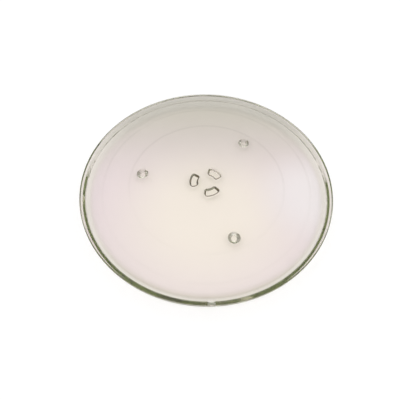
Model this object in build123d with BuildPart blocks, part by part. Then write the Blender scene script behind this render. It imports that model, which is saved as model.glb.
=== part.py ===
from build123d import *
import os
from math import cos, radians, sin, tan

# Microwave turntable plate, pressed from clear glass in one piece.
# Millimetres, +Z up. The origin is the middle of the plane that the feet stand on.

# Base and rim
plate_diameter = 288.0        # over the upright edge
glass_thickness = 4.5         # flat base
rim_rise = 6.6                # top of the lip above the dish floor
lip_radius = 0.8              # round on top of the rim
edge_height = 2.6             # upright edge below the lip
inner_wall_slope = 40.0       # degrees, dish side of the rim
flare_slope = 56.0            # degrees, outside of the rim below the upright edge
lower_wall_slope = 67.0       # degrees, outside of the rim above the underside
lower_wall_height = 5.5
floor_bend_radius = 3.0       # where the dish floor turns up into the rim
corner_bend_radius = 3.8      # where the underside turns up into the rim

# Roller track, a shallow band in the underside
track_foot_gap = 3.7          # from the feet to the inner slope of the track
track_rim_gap = 16.0          # from the outer slope of the track to the corner of the rim
track_depth = 0.25
track_slope_width = 6.0

# Feet that hold the plate off a table
foot_count = 3
foot_circle_diameter = 155.6
foot_angle = 53.3             # degrees from +X to the first foot
foot_diameter = 13.0          # where it meets the underside
foot_height = 5.0
foot_draft = 30.0             # degrees
foot_tip_bevel = 1.2

# Drive lugs, segments of one ring, each in line with a foot
lug_inner_radius = 10.6       # where it meets the underside
lug_outer_radius = 19.9       # where it meets the underside
lug_spread = 61.0             # degrees of the ring that a lug takes up
lug_height = 4.2
lug_draft = 14.0              # degrees
lug_corner_round = 2.6
lug_tip_bevel = 0.8

# Nub on the outside of the rim's lower wall, the cap of a ball
nub_angle = 273.0             # degrees from +X
nub_ball_radius = 3.4
nub_height = 1.3              # above the wall

# Levels
underside_level = foot_height
floor_level = underside_level + glass_thickness
lip_level = floor_level + rim_rise

# Rim section: the round of the lip joins the upright edge to the inner wall
plate_radius = plate_diameter / 2
lip_center_r = plate_radius - lip_radius
lip_center_z = lip_level - lip_radius
inner_top_r = lip_center_r - lip_radius * sin(radians(inner_wall_slope))
inner_top_z = lip_center_z + lip_radius * cos(radians(inner_wall_slope))
floor_edge_r = inner_top_r - (inner_top_z - floor_level) / tan(radians(inner_wall_slope))
edge_bottom_z = lip_center_z - edge_height
flare_bottom_z = underside_level + lower_wall_height
flare_bottom_r = plate_radius - (edge_bottom_z - flare_bottom_z) / tan(radians(flare_slope))
corner_r = flare_bottom_r - lower_wall_height / tan(radians(lower_wall_slope))

# The track keeps clear of the feet and of the rim
track_inner_r = foot_circle_diameter / 2 + foot_diameter / 2 + track_foot_gap
track_outer_r = corner_r - track_rim_gap
track_level = underside_level + track_depth

# One lug, lying across +X
with BuildPart() as lug:
    with BuildSketch(Plane.XY.offset(underside_level)) as lug_outline:
        with BuildLine():
            back = CenterArc((0, 0), lug_outer_radius, -lug_spread / 2, lug_spread)
            front = CenterArc((0, 0), lug_inner_radius, -lug_spread / 2, lug_spread)
            Line(back @ 0, front @ 0)
            Line(back @ 1, front @ 1)
        make_face()
        fillet(lug_outline.vertices(), lug_corner_round)
    extrude(amount=-lug_height, taper=lug_draft)
    chamfer(lug.edges().group_by(Axis.Z)[0], lug_tip_bevel)

# One foot, on the axis
with BuildPart() as foot:
    with BuildSketch(Plane.XY.offset(underside_level)):
        Circle(foot_diameter / 2)
    extrude(amount=-foot_height, taper=foot_draft)
    chamfer(foot.edges().group_by(Axis.Z)[0], foot_tip_bevel)

# Centre of the nub's ball, under the middle of the lower wall
nub_depth = nub_ball_radius - nub_height
nub_center_r = (corner_r + flare_bottom_r) / 2 - nub_depth * sin(radians(lower_wall_slope))
nub_center_z = (underside_level + flare_bottom_z) / 2 + nub_depth * cos(radians(lower_wall_slope))
nub_center = Vector(nub_center_r, 0, nub_center_z).rotate(Axis.Z, nub_angle)

with BuildPart() as turntable_plate:
    # Base and rim
    with BuildSketch(Plane.XZ) as section:
        with BuildLine():
            lip = CenterArc((lip_center_r, lip_center_z), lip_radius, 0, 90 + inner_wall_slope)
            Polyline(
                lip @ 1,
                (floor_edge_r, floor_level),
                (0, floor_level),
                (0, underside_level),
                (track_inner_r, underside_level),
                (track_inner_r + track_slope_width, track_level),
                (track_outer_r - track_slope_width, track_level),
                (track_outer_r, underside_level),
                (corner_r, underside_level),
                (flare_bottom_r, flare_bottom_z),
                (plate_radius, edge_bottom_z),
                lip @ 0,
            )
        make_face()
        fillet(section.vertices().sort_by_distance((floor_edge_r, floor_level))[0], floor_bend_radius)
        fillet(section.vertices().sort_by_distance((corner_r, underside_level))[0], corner_bend_radius)
    revolve(axis=Axis.Z)

    # Drive lugs
    with PolarLocations(0, foot_count, foot_angle):
        add(lug.part)

    # Feet
    with PolarLocations(foot_circle_diameter / 2, foot_count, foot_angle):
        add(foot.part)

    # Nub
    with Locations(nub_center):
        Sphere(nub_ball_radius)

turntable_plate.part.label = "turntable_plate"
os.makedirs("parts", exist_ok=True)
export_step(turntable_plate.part, "parts/turntable_plate.step")
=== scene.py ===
from math import cos, radians, sin, tan

import bmesh
import bpy
from mathutils import Matrix, Vector


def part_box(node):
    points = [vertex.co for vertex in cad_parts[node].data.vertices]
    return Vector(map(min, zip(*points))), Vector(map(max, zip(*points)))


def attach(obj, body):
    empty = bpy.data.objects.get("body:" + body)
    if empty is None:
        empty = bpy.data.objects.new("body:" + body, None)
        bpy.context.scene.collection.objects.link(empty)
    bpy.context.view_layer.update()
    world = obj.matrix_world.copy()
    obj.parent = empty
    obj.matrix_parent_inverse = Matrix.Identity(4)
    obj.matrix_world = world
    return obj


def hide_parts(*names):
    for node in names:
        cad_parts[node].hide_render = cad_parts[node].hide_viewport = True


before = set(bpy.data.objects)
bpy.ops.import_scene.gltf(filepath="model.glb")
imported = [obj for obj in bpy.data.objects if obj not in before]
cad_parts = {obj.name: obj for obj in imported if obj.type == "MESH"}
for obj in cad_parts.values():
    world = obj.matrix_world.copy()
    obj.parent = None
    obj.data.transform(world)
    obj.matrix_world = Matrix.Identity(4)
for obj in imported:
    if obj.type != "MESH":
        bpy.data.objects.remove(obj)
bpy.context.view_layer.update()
scene = bpy.context.scene

# Turntable plate: one piece of clear glass, pressed in a round mould. Base, rim, the three feet, the three
# drive lugs and the small nub on the rim's outer wall all leave the mould together, with soft edges.
plate_low, plate_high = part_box("turntable_plate")
plate_radius = (plate_high.x - plate_low.x) / 2
lip_level = plate_high.z
underside_level = 0.005
glass_thickness = 0.0045
dish_level = underside_level + glass_thickness

# Rim
lip_radius = 0.0008
edge_height = 0.0026
inner_slope = radians(40)
flare_slope = radians(56)
lower_slope = radians(67)
lower_height = 0.0055
dish_bend = 0.003
corner_bend = 0.0038
flare_bend = 0.002
edge_bend = 0.0006

# Arms: each has a drive lug near the axis and a foot in line with it.
arm_count = 3
arm_pitch = radians(120)
first_arm_angle = radians(53.3)
root_round = 0.0008
foot_circle_radius = 0.0778
foot_radius = 0.0065
foot_height = underside_level
foot_draft = radians(30)
foot_tip_round = 0.0015
lug_inner_radius = 0.0106
lug_outer_radius = 0.0199
lug_spread = radians(61)
lug_height = 0.0042
lug_draft = radians(14)
lug_tip_round = 0.0008
lug_corner_round = 0.0026
arm_gap_radius = 0.03          # clear of lugs and feet

# Roller track, a shallow band in the underside between the feet and the rim
track_foot_gap = 0.0037
track_rim_gap = 0.016
track_depth = 0.00025
track_slope_width = 0.006
track_bend = 0.03

# Nub on the lower wall, with a pale frosted ring round its upper half, soft at its edge and at its eye. The
# ring is partly frosting and partly a painted highlight.
nub_angle = radians(273)
nub_radius = 0.0042
nub_height = 0.0013
frost_highlight_rise = 0.0018
frost_highlight_offset = 0.0004
frost_highlight_edge = (0.0035, 0.0042)
frost_highlight_eye = (0.0006, 0.0014)


def section(name, corners):
    """Poly curve through corners, each (outward, height, bend radius).

    A sweep lays the curve's X outward and its Y down.
    """
    curve = bpy.data.curves.new(name, "CURVE")
    curve.dimensions = "3D"
    spline = curve.splines.new("POLY")
    spline.points.add(len(corners) - 1)
    for point, (outward, height, bend) in zip(spline.points, corners):
        point.co = (outward, -height, 0, 1)
        point.radius = bend
    made = bpy.data.objects.new(name, curve)
    scene.collection.objects.link(made)
    return made


# Corners of the rim's section, from the underside round the lip to the dish floor. The lip is the round of
# the corner where the upright edge would meet the inner wall.
lip_corner_level = lip_level - lip_radius + lip_radius * tan(radians(90) / 2 + inner_slope / 2)
dish_edge_radius = plate_radius - (lip_corner_level - dish_level) / tan(inner_slope)
edge_foot_level = lip_level - lip_radius - edge_height
flare_foot_level = underside_level + lower_height
flare_foot_radius = plate_radius - (edge_foot_level - flare_foot_level) / tan(flare_slope)
corner_radius = flare_foot_radius - lower_height / tan(lower_slope)
track_inner_radius = foot_circle_radius + foot_radius + track_foot_gap
track_outer_radius = corner_radius - track_rim_gap
track_level = underside_level + track_depth

# The lower wall has many points, because the nub swells out of it.
wall_steps = 20
wall_shares = [step / wall_steps for step in range(4, 17)]
wall_run = flare_foot_radius - corner_radius
lower_wall = [
    (corner_radius + share * wall_run, underside_level + share * lower_height, 0) for share in wall_shares
]

# Flats have points at these margins beside a bend, so that the smooth shading keeps them flat.
track_margin = 0.0015
corner_margins = (0.0045, 0.0029)
dish_margins = (0.0016, 0.0030)
dish_fill_radius = 0.060
rim_corners = [
    (track_inner_radius - track_margin, underside_level, 0),
    (track_inner_radius, underside_level, track_bend),
    (track_inner_radius + track_slope_width, track_level, track_bend),
    (track_outer_radius - track_slope_width, track_level, track_bend),
    (track_outer_radius, underside_level, track_bend),
    *[(corner_radius - margin, underside_level, 0) for margin in corner_margins],
    (corner_radius, underside_level, corner_bend),
    *lower_wall,
    (flare_foot_radius, flare_foot_level, flare_bend),
    (plate_radius, edge_foot_level, edge_bend),
    (plate_radius, lip_corner_level, lip_radius),
    (dish_edge_radius, dish_level, dish_bend),
    *[(dish_edge_radius - margin, dish_level, 0) for margin in dish_margins],
    (dish_fill_radius, dish_level, 0),
]
rim_section = section("rim_section", [(r - plate_radius, z, bend) for r, z, bend in rim_corners])

# Flanks of a lug and of a foot, outward from the flats of their tips. Root and tip are rounds of the mould.
flank_margin = 0.0003


def flank(name, height, draft, tip_round):
    """Section of a flank, and how far the flat of its tip lies inside the root line."""
    turn = (radians(90) - draft) / 2
    tip_inset = tip_round * tan(turn) + flank_margin
    inset = tip_inset + height * tan(draft)
    return inset, section(name, [
        (inset + root_round * tan(turn) + flank_margin, underside_level, 0),
        (inset, underside_level, root_round),
        (tip_inset, underside_level - height, tip_round),
        (0, underside_level - height, 0),
    ])


lug_inset, lug_flank = flank("lug_flank", lug_height, lug_draft, lug_tip_round)
foot_inset, foot_flank = flank("foot_flank", foot_height, foot_draft, foot_tip_round)

# Geometry Nodes press the plate: the section is swept round the axis, the flanks round the outlines of one
# lug and one foot, these are set out three times, and the open flats between them are filled.
tree = press_tree = bpy.data.node_groups.new("pressed_plate", "GeometryNodeTree")
glass = bpy.data.materials.new("clear_glass")
sizes = {}


def size(name, kind, value):
    socket = tree.interface.new_socket(name, in_out="INPUT", socket_type=kind)
    sizes[socket.identifier] = value


size("Rim Section", "NodeSocketObject", rim_section)
size("Lug Flank", "NodeSocketObject", lug_flank)
size("Foot Flank", "NodeSocketObject", foot_flank)
size("Plate Radius", "NodeSocketFloat", plate_radius)
size("Underside Level", "NodeSocketFloat", underside_level)
size("Dish Level", "NodeSocketFloat", dish_level)
size("Arm Count", "NodeSocketInt", arm_count)
size("First Arm Angle", "NodeSocketFloat", first_arm_angle)
size("Arm Pitch", "NodeSocketFloat", arm_pitch)
size("Foot Circle Radius", "NodeSocketFloat", foot_circle_radius)
size("Foot Tip Radius", "NodeSocketFloat", foot_radius - foot_inset)
lug_middle_radius = (lug_inner_radius + lug_outer_radius) / 2
size("Lug Middle Radius", "NodeSocketFloat", lug_middle_radius)
size("Lug Tip Width", "NodeSocketFloat", lug_outer_radius - lug_inner_radius - 2 * lug_inset)
size("Lug Tip Length", "NodeSocketFloat", lug_spread * lug_middle_radius - 2 * lug_inset)
size("Lug Tip Corner", "NodeSocketFloat", lug_corner_round - lug_inset)
nub_outward = Vector((cos(nub_angle), sin(nub_angle), 0))
nub_middle_radius = (corner_radius + flare_foot_radius) / 2
nub_middle = nub_outward * nub_middle_radius + Vector((0, 0, (underside_level + flare_foot_level) / 2))
nub_direction = nub_outward * sin(lower_slope) - Vector((0, 0, cos(lower_slope)))
size("Nub Middle", "NodeSocketVector", tuple(nub_middle))
size("Nub Direction", "NodeSocketVector", tuple(nub_direction))
size("Nub Angle", "NodeSocketFloat", nub_angle)
size("Nub Radius", "NodeSocketFloat", nub_radius)
size("Nub Height", "NodeSocketFloat", nub_height)
frost_highlight_middle = nub_middle + nub_outward * frost_highlight_offset + Vector((0, 0, frost_highlight_rise))
size("Frost Middle", "NodeSocketVector", tuple(frost_highlight_middle))
ring_steps = 480
size("Ring Steps", "NodeSocketInt", ring_steps)
size("Glass", "NodeSocketMaterial", glass)
tree.interface.new_socket("Plate", in_out="OUTPUT", socket_type="NodeSocketGeometry")
group_in = tree.nodes.new("NodeGroupInput")
group_out = tree.nodes.new("NodeGroupOutput")


def node(kind, settings=None, **inputs):
    """Adds a node and gives its first output.

    An input is a value, another node's output, or the name of one of the tree's sizes. Input _0 is the first.
    """
    made = tree.nodes.new(kind)
    for name, value in (settings or {}).items():
        setattr(made, name, value)
    for name, value in inputs.items():
        slot = made.inputs[int(name[1:])] if name[0] == "_" else made.inputs[name.replace("_", " ")]
        for part in value if isinstance(value, list) else [value]:
            if isinstance(part, bpy.types.NodeSocket):
                tree.links.new(part, slot)
            elif isinstance(part, str):
                tree.links.new(group_in.outputs[part], slot)
            else:
                slot.default_value = part
    return made.outputs[0]


def math(operation, *values):
    return node("ShaderNodeMath", {"operation": operation}, **{f"_{n}": v for n, v in enumerate(values)})


def vector(operation, *values, out=0):
    made = node("ShaderNodeVectorMath", {"operation": operation}, **{f"_{n}": v for n, v in enumerate(values)})
    return made.node.outputs[out]


def ramped(value, start, end, first, last):
    """Goes smoothly from first to last while the value goes from start to end."""
    return node("ShaderNodeMapRange", {"interpolation_type": "SMOOTHSTEP"}, Value=value, From_Min=start,
                From_Max=end, To_Min=first, To_Max=last)


def axes(place):
    return node("ShaderNodeSeparateXYZ", Vector=place).node.outputs


def marked(geometry, name, value):
    """Keeps a finish on the glass, under a name that its material reads."""
    made = node("GeometryNodeStoreNamedAttribute", {"data_type": "FLOAT", "domain": "POINT"},
                Geometry=geometry, Value=value)
    made.node.inputs["Name"].default_value = name
    return made


# Wide bends, those of the track, turn so little that a few steps round them.
wide_bend = 0.01
wide_bend_steps = 4.0


def bent(curve_object, steps):
    """Rounds the corners of a section."""
    shown = tree.nodes.new("GeometryNodeObjectInfo")
    tree.links.new(group_in.outputs[curve_object], shown.inputs["Object"])
    bend = node("GeometryNodeInputRadius")
    fewer = math("MULTIPLY", math("GREATER_THAN", bend, wide_bend), steps - wide_bend_steps)
    return node("GeometryNodeFilletCurve", {"mode": "POLY"}, Curve=shown.outputs["Geometry"],
                Count=math("SUBTRACT", float(steps), fewer), Radius=bend)


def swept(outline, profile):
    upright = node("GeometryNodeSetCurveNormal", {"mode": "Z_UP"}, Curve=outline)
    return node("GeometryNodeCurveToMesh", Curve=upright, Profile_Curve=profile)


def filled(curves, level):
    flat = node("GeometryNodeFillCurve", {"mode": "TRIANGLES"}, Curve=curves)
    return node("GeometryNodeSetPosition", Geometry=flat, Offset=node("ShaderNodeCombineXYZ", Z=level))


def open_edges(mesh):
    single = math("COMPARE", node("GeometryNodeInputMeshEdgeNeighbors"), 1.0, 0.5)
    return node("GeometryNodeMeshToCurve", Mesh=mesh, Selection=single)


position = node("GeometryNodeInputPosition")
place = axes(position)
index = node("GeometryNodeInputIndex")


def below(geometry, level):
    """Keeps what lies under a level."""
    above = math("GREATER_THAN", place["Z"], level)
    return node("GeometryNodeDeleteGeometry", Geometry=geometry, Selection=above)


def over(geometry, level):
    """Keeps what lies over a level."""
    under = math("LESS_THAN", place["Z"], level)
    return node("GeometryNodeDeleteGeometry", Geometry=geometry, Selection=under)


# Ring that the rim's section follows. Its points draw together where the nub is.
nub_gather = 0.8
ring = node("GeometryNodeCurvePrimitiveCircle", {"mode": "RADIUS"}, Resolution="Ring Steps",
            Radius="Plate Radius")
even_turn = math("MULTIPLY", index, radians(360) / ring_steps)
gathered = math("MULTIPLY", math("SINE", even_turn), nub_gather)
ring_turn = math("SUBTRACT", math("ADD", even_turn, "Nub Angle"), gathered)
ring_place = node("ShaderNodeCombineXYZ", X=math("MULTIPLY", math("COSINE", ring_turn), "Plate Radius"),
                  Y=math("MULTIPLY", math("SINE", ring_turn), "Plate Radius"))
ring = node("GeometryNodeSetPosition", Geometry=ring, Position=ring_place)
rim = swept(ring, bent("Rim Section", 12))

# Nub: the wall swells smoothly to its height. A pale frosted ring, partly a painted highlight, runs round its
# upper half.
frost_highlight_reach = vector("DISTANCE", position, "Frost Middle", out=1)
frost_highlight_ring = math("MULTIPLY", ramped(frost_highlight_reach, *frost_highlight_edge, 1.0, 0.0), ramped(frost_highlight_reach, *frost_highlight_eye, 0.0, 1.0))
rim = marked(rim, "frosted_nub", frost_highlight_ring)
nub_reach = math("DIVIDE", vector("DISTANCE", position, "Nub Middle", out=1), "Nub Radius")
nub_fall = math("MAXIMUM", math("SUBTRACT", 1.0, math("MULTIPLY", nub_reach, nub_reach)), 0.0)
swell = math("MULTIPLY", math("POWER", nub_fall, 1.5), "Nub Height")
push = node("ShaderNodeVectorMath", {"operation": "SCALE"}, _0="Nub Direction", Scale=swell)
rim = node("GeometryNodeSetPosition", Geometry=rim, Offset=push)

# Lug: a rectangle with round corners, bent round the plate's axis.
corner_steps = 13
side_cuts = 20.0
lug_line = node("GeometryNodeCurvePrimitiveQuadrilateral", {"mode": "RECTANGLE"}, Width="Lug Tip Width",
                Height="Lug Tip Length")
lug_line = node("GeometryNodeFilletCurve", {"mode": "POLY"}, Curve=lug_line, Count=corner_steps,
                Radius="Lug Tip Corner")
past_corner = math("COMPARE", math("MODULO", index, corner_steps + 1.0), float(corner_steps), 0.5)
lug_line = node("GeometryNodeSubdivideCurve", Curve=lug_line, Cuts=math("MULTIPLY", past_corner, side_cuts))
lug_reach = math("ADD", place["X"], "Lug Middle Radius")
lug_turn = math("DIVIDE", place["Y"], "Lug Middle Radius")
round_axis = node("ShaderNodeCombineXYZ", X=math("MULTIPLY", lug_reach, math("COSINE", lug_turn)),
                  Y=math("MULTIPLY", lug_reach, math("SINE", lug_turn)))
lug_line = node("GeometryNodeSetPosition", Geometry=lug_line, Position=round_axis)
lug = swept(lug_line, bent("Lug Flank", 8))

# Foot, in line with the lug.
foot_steps = 96
foot_line = node("GeometryNodeCurvePrimitiveCircle", {"mode": "RADIUS"}, Resolution=foot_steps,
                 Radius="Foot Tip Radius")
foot = swept(foot_line, bent("Foot Flank", 10))
foot = node("GeometryNodeTransform", Geometry=foot,
            Translation=node("ShaderNodeCombineXYZ", X="Foot Circle Radius"))

# Lug and foot make an arm, which stands three times round the axis.
arm = node("GeometryNodeJoinGeometry", Geometry=[lug, foot])
arm_turn = math("ADD", "First Arm Angle", math("MULTIPLY", index, "Arm Pitch"))
arms = node("GeometryNodeInstanceOnPoints", Points=node("GeometryNodePoints", Count="Arm Count"), Instance=arm,
            Rotation=node("ShaderNodeCombineXYZ", Z=arm_turn))
arms = node("GeometryNodeRealizeInstances", Geometry=arms)

# Steep flanks keep the matt skin of the mould, and their colour is darkened by painted shade in place of
# the dark lines that light draws along them. On the feet it is thickest at the sides and thinner on flanks
# that face the back, and the front foot has a little more. On the lugs it is thinner on flanks that face back
# and to the left, and the outer flank of the back lug has none: it is clear, with a ground surface.
faced = axes(node("GeometryNodeInputNormal"))
steep = ramped(math("ABSOLUTE", faced["Z"]), 0.93, 0.995, 1.0, 0.0)
level_part = math("SQRT", math("SUBTRACT", 1.0001, math("MULTIPLY", faced["Z"], faced["Z"])))
sideways = math("DIVIDE", math("ABSOLUTE", faced["X"]), level_part)
foot_matt_and_shade = math("MULTIPLY", ramped(sideways, 0.28, 0.95, 0.08, 0.76), ramped(faced["Y"], 0.0, 0.8, 1.0, 0.35))
front_foot = math("LESS_THAN", place["Y"], -arm_gap_radius)
foot_matt_and_shade = math("ADD", foot_matt_and_shade, math("MULTIPLY", front_foot, ramped(faced["Y"], 0.2, 0.7, 0.0, 0.2)))
back_flank_stretch = (0.0168, 0.0180)
to_back_lug = (cos(first_arm_angle), sin(first_arm_angle), 0)
back_flank = ramped(vector("DOT_PRODUCT", position, to_back_lug, out=1), *back_flank_stretch, 0.0, 1.0)
far_left = math("MULTIPLY", ramped(faced["X"], -0.5, 0.6, 0.5, 0.0), ramped(faced["Y"], -0.1, 0.6, 0.0, 1.0))
lug_matt_and_shade = math("MULTIPLY", math("SUBTRACT", 1.0, far_left), math("SUBTRACT", 1.0, back_flank))
from_axis = vector("LENGTH", vector("MULTIPLY", position, (1, 1, 0)), out=1)
is_foot = math("GREATER_THAN", from_axis, arm_gap_radius)
is_lug = math("SUBTRACT", 1.0, is_foot)
arm_matt_and_shade = math("ADD", math("MULTIPLY", is_foot, foot_matt_and_shade), math("MULTIPLY", is_lug, lug_matt_and_shade))
# The matt skin carries the painted shade too, which darkens the glass's colour.
arms = marked(arms, "matt_skin", math("MULTIPLY", steep, arm_matt_and_shade))
arms = marked(arms, "ground_flank", math("MULTIPLY", math("MULTIPLY", steep, back_flank), is_lug))

# Flats: the tips of the arms, the underside round their roots, and the dish floor.
level_margin = 0.0003
root_limit = underside_level - level_margin
lug_tip_level = underside_level - lug_height
lug_tip_limit = lug_tip_level - level_margin
glass_middle = (underside_level + dish_level) / 2
arm_edges = open_edges(arms)
rim_edges = open_edges(rim)
tips = below(arm_edges, root_limit)
lug_tips = filled(over(tips, lug_tip_limit), lug_tip_level)
foot_tips = filled(below(tips, lug_tip_limit), underside_level - foot_height)
underside_edges = [below(rim_edges, glass_middle), over(arm_edges, root_limit)]
base = filled(node("GeometryNodeJoinGeometry", Geometry=underside_edges), "Underside Level")
dish = filled(over(rim_edges, glass_middle), "Dish Level")

# The edges of flats and flanks are welded, and all of it is one skin of glass.
weld_distance = 2e-6
whole = node("GeometryNodeJoinGeometry", Geometry=[rim, arms, lug_tips, foot_tips, base, dish])
whole = node("GeometryNodeMergeByDistance", Geometry=whole, Distance=weld_distance)
whole = node("GeometryNodeRealizeInstances", Geometry=whole)
whole = node("GeometryNodeSetShadeSmooth", Geometry=whole, Shade_Smooth=True)
whole = node("GeometryNodeSetMaterial", Geometry=whole, Material="Glass")
tree.links.new(whole, group_out.inputs["Plate"])

# Clear glass, faintly olive where it is seen edge on. Fire polished, with the slow waves of pressed glass, a
# trace of haze from washing and patchy scuffs along the track's two slopes, where the rollers rub, stronger
# towards the back.
clear_colour = (0.94, 0.915, 0.90)
scuff_colour = (0.85, 0.825, 0.805)
# Dark painted shade on the steep flanks of lugs and feet, where they are also matt
painted_flank_shade = (0.115, 0.066, 0.022)
# Pale colour of the nub's frosted ring, partly a painted highlight
frost_highlight_colour = (0.95, 0.95, 0.90)
edge_colour = (0.359, 0.414, 0.059)
edge_density = 10.6
glass_ior = 1.5
skin_roughness = 0.4
matt_and_shade_hold = 0.85
frost_roughness = 0.5
frost_hold = 0.7
scuff_roughness = 0.1
scuff_width = (0.0005, 0.0024)
haze_roughness = 0.03
wave_strength = 0.3
wave_height = 0.0004
underside_fade = (underside_level + 0.0005, underside_level + 0.0010)
glass.use_nodes = True
tree = glass.node_tree
shader = tree.nodes["Principled BSDF"]


def finish(name):
    return node("ShaderNodeAttribute", {"attribute_name": name}).node.outputs["Fac"]


def mixed(first, second, share):
    """Mixes two colours, each three numbers or another node's output."""
    made = node("ShaderNodeMix", {"data_type": "RGBA"}, Factor=share).node
    for name, colour in (("A", first), ("B", second)):
        if isinstance(colour, tuple):
            made.inputs[name].default_value = (*colour, 1)
        else:
            tree.links.new(colour, made.inputs[name])
    return made.outputs["Result"]


spot = node("ShaderNodeTexCoord").node.outputs["Object"]
spot_axes = axes(spot)
spot_reach = vector("LENGTH", vector("MULTIPLY", spot, (1, 1, 0)), out=1)
scuff_lines = []
for slope_radius in (track_inner_radius + track_slope_width / 2, track_outer_radius - track_slope_width / 2):
    off_slope = math("ABSOLUTE", math("SUBTRACT", spot_reach, slope_radius))
    scuff_lines.append(ramped(off_slope, *scuff_width, 1.0, 0.0))
patchy = ramped(node("ShaderNodeTexNoise", Vector=spot, Scale=14.0, Detail=3.0), 0.28, 0.50, 0.3, 1.0)
# The scuffs grow stronger towards the back.
patchy = math("MULTIPLY", patchy, ramped(spot_axes["Y"], -0.06, 0.06, 0.25, 1.0))
on_underside = ramped(spot_axes["Z"], *underside_fade, 1.0, 0.0)
scuffed = math("MULTIPLY", math("MULTIPLY", math("ADD", *scuff_lines), patchy), on_underside)

# The painted shade of the skin is dark to look at but lets light through to the table.
to_table = node("ShaderNodeLightPath").node.outputs["Is Diffuse Ray"]
matt_and_shade = math("MULTIPLY", finish("matt_skin"), math("SUBTRACT", 1.0, to_table))
# The frosted ring on the nub is partly a painted highlight.
frost_and_highlight = finish("frosted_nub")
colour = mixed(mixed(mixed(clear_colour, scuff_colour, scuffed), painted_flank_shade, matt_and_shade), frost_highlight_colour, frost_and_highlight)
tree.links.new(colour, shader.inputs["Base Color"])

haze_noise = node("ShaderNodeTexNoise", Vector=spot, Scale=38.0, Detail=5.0, Roughness=0.6)
matt = math("ADD", math("MULTIPLY", matt_and_shade, skin_roughness), math("MULTIPLY", frost_and_highlight, frost_roughness))
matt = math("ADD", matt, finish("ground_flank"))
matt = math("ADD", matt, math("MULTIPLY", scuffed, scuff_roughness))
matt = math("ADD", matt, ramped(haze_noise, 0.55, 0.75, 0.0, haze_roughness))
tree.links.new(matt, shader.inputs["Roughness"])
waves = node("ShaderNodeTexNoise", Vector=spot, Scale=55.0, Detail=2.0, Roughness=0.45)
ripple = node("ShaderNodeBump", Height=waves, Strength=wave_strength, Distance=wave_height)
tree.links.new(ripple, shader.inputs["Normal"])
held_back = math("ADD", math("MULTIPLY", matt_and_shade, matt_and_shade_hold), math("MULTIPLY", frost_and_highlight, frost_hold))
tree.links.new(math("SUBTRACT", 1.0, held_back), shader.inputs["Transmission Weight"])
shader.inputs["IOR"].default_value = glass_ior
absorption = tree.nodes.new("ShaderNodeVolumeAbsorption")
absorption.inputs["Color"].default_value = (*edge_colour, 1)
absorption.inputs["Density"].default_value = edge_density
tree.links.new(absorption.outputs["Volume"], tree.nodes["Material Output"].inputs["Volume"])

plate = bpy.data.objects.new("turntable_plate_glass", bpy.data.meshes.new("blank"))
scene.collection.objects.link(plate)
press = plate.modifiers.new("press", "NODES")
press.node_group = press_tree
for identifier, value in sizes.items():
    press[identifier] = value
depsgraph = bpy.context.evaluated_depsgraph_get()
pressed = bpy.data.meshes.new_from_object(plate.evaluated_get(depsgraph), depsgraph=depsgraph)
plate.modifiers.remove(press)
plate.data = pressed
for helper in (rim_section, lug_flank, foot_flank):
    bpy.data.objects.remove(helper)
surface = bmesh.new()
surface.from_mesh(pressed)
bmesh.ops.recalc_face_normals(surface, faces=surface.faces)
surface.to_mesh(pressed)
surface.free()
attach(plate, "root")
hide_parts("turntable_plate")

# Floor: a white table top that greys far away and can be seen through from below. Under the plate it has a
# painted shade in place of the plate's shadow: warm, greying towards the back and darker in a ring below the
# rim. At the right it is lilac.
floor_half = 3.0
floor_drop = -0.0005
white = (0.98, 0.98, 0.98)
far_grey = (0.74, 0.74, 0.74)
# Colours of the painted shade under the plate
painted_middle_shade = (0.99, 0.948, 0.904)
painted_outer_shade = (0.89, 0.812, 0.876)
painted_back_shade = (0.635, 0.624, 0.566)
# Painted light: a lighter lilac patch on the floor at the right, under the plate.
painted_lilac_light = (0.95, 0.93, 0.99)
painted_front_rim_shade = (0.73, 0.69, 0.64)
painted_side_rim_shade = (0.84, 0.81, 0.79)
painted_back_rim_shade = (0.60, 0.59, 0.55)
warm_spot = (0, -0.04, 0)
lilac_spot = (0.125, -0.012, 0)
painted_shade_middle = (0, 0.012, 0)
plate_axis = (0, 0, 0)
floor = bpy.data.objects.new("floor", bpy.data.meshes.new("floor"))
floor_corners = [(x * floor_half, y * floor_half, floor_drop) for x, y in ((-1, -1), (1, -1), (1, 1), (-1, 1))]
floor.data.from_pydata(floor_corners, [], [(0, 1, 2, 3)])
scene.collection.objects.link(floor)
paper = bpy.data.materials.new("white_paper")
floor.data.materials.append(paper)
paper.use_nodes = True
tree = paper.node_tree
paint = tree.nodes["Principled BSDF"]
spot = node("ShaderNodeTexCoord").node.outputs["Object"]
spot_axes = axes(spot)


def span(value, start, end):
    return ramped(value, start, end, 0.0, 1.0)


def distance(centre, widened=1.0):
    return vector("DISTANCE", vector("MULTIPLY", spot, (widened, 1, 1)), centre, out=1)


# Painted shade under the plate: warm in the middle, greyer further out and towards the back.
painted_shade = mixed(painted_middle_shade, painted_outer_shade, span(distance(warm_spot), 0.03, 0.135))
painted_shade = mixed(painted_shade, painted_back_shade, span(spot_axes["Y"], -0.02, 0.15))
# Painted light: the lighter lilac patch at the right.
painted_shade = mixed(painted_shade, painted_lilac_light, span(distance(lilac_spot), 0.08, 0.015))
# Painted shade: a darker ring below the rim, darkest at the front and the back.
painted_rim_shade = mixed(painted_front_rim_shade, painted_side_rim_shade, span(math("ABSOLUTE", spot_axes["X"]), 0.06, 0.13))
painted_rim_shade = mixed(painted_rim_shade, painted_back_rim_shade, span(spot_axes["Y"], 0.02, 0.13))
painted_shade = mixed(painted_shade, painted_rim_shade, span(distance(plate_axis, widened=0.97), 0.127, 0.135))
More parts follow.
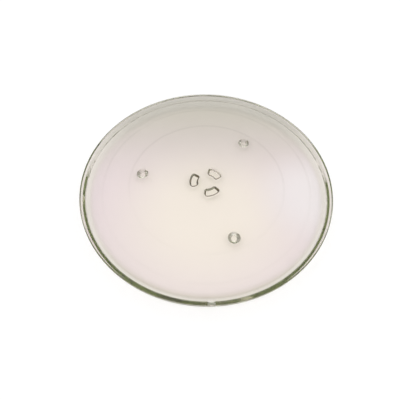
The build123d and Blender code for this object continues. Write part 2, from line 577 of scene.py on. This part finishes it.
# Beyond the plate the painted shade fades into the white table.
near = mixed(painted_shade, white, span(distance(painted_shade_middle, widened=1.02), 0.147, 0.155))
tree.links.new(mixed(near, far_grey, span(distance(plate_axis), 0.6, 2.0)), paint.inputs["Base Color"])
paint.inputs["Roughness"].default_value = 0.9
paint.inputs["Specular IOR Level"].default_value = 0.0
from_below = node("ShaderNodeNewGeometry").node.outputs["Backfacing"]
one_sided = node("ShaderNodeMixShader", _0=from_below, _1=paint.outputs["BSDF"],
                 _2=node("ShaderNodeBsdfTransparent"))
tree.links.new(one_sided, tree.nodes["Material Output"].inputs["Surface"])

# Light: a soft even glow from all round, a little stronger from above than from the walls.
sky_strength = 1.5
sky_levels = [(0.0, 0.495), (0.3, 0.495), (0.5, 0.72), (0.7, 0.775), (1.0, 0.775)]
sky = bpy.data.worlds.new("soft_glow")
scene.world = sky
sky.use_nodes = True
tree = sky.node_tree
ramp = node("ShaderNodeValToRGB", Fac=axes(node("ShaderNodeTexCoord"))["Z"]).node
ramp.color_ramp.interpolation = "EASE"
while len(ramp.color_ramp.elements) < len(sky_levels):
    ramp.color_ramp.elements.new(0.5)
for element, (height, level) in zip(ramp.color_ramp.elements, sky_levels):
    element.position = height
    element.color = (level, level, level, 1)
glow = tree.nodes["Background"]
tree.links.new(ramp.outputs["Color"], glow.inputs["Color"])
glow.inputs["Strength"].default_value = sky_strength

# Camera, above the front of the plate and rolled a little. The shifts are in pixels of a square picture.
camera_tilt = radians(54.903)
camera_roll = radians(1.556)
camera_distance = 0.38290
aim_level = 0.008
picture_size = 400
shift_right = -6.7
shift_up = -19.1
lens = bpy.data.cameras.new("camera")
lens.sensor_width = 36
lens.lens = 29.1587
lens.shift_x = shift_right / picture_size
lens.shift_y = shift_up / picture_size
lens.clip_start = 0.01
camera = bpy.data.objects.new("camera", lens)
scene.collection.objects.link(camera)
back = Vector((0, -cos(camera_tilt), sin(camera_tilt)))
level_right = Vector((1, 0, 0))
level_up = back.cross(level_right)
right = level_right * cos(camera_roll) + level_up * sin(camera_roll)
up = level_up * cos(camera_roll) - level_right * sin(camera_roll)
turned = Matrix((right, up, back)).transposed().to_4x4()
camera.matrix_world = Matrix.Translation(back * camera_distance + Vector((0, 0, aim_level))) @ turned
scene.camera = camera

# Light passes the glass of the rim many times before it leaves it.
glass_bounces = 64
scene.cycles.max_bounces = glass_bounces
scene.cycles.glossy_bounces = glass_bounces
scene.cycles.transmission_bounces = glass_bounces
scene.cycles.blur_glossy = 0.0
scene.view_settings.view_transform = "Standard"
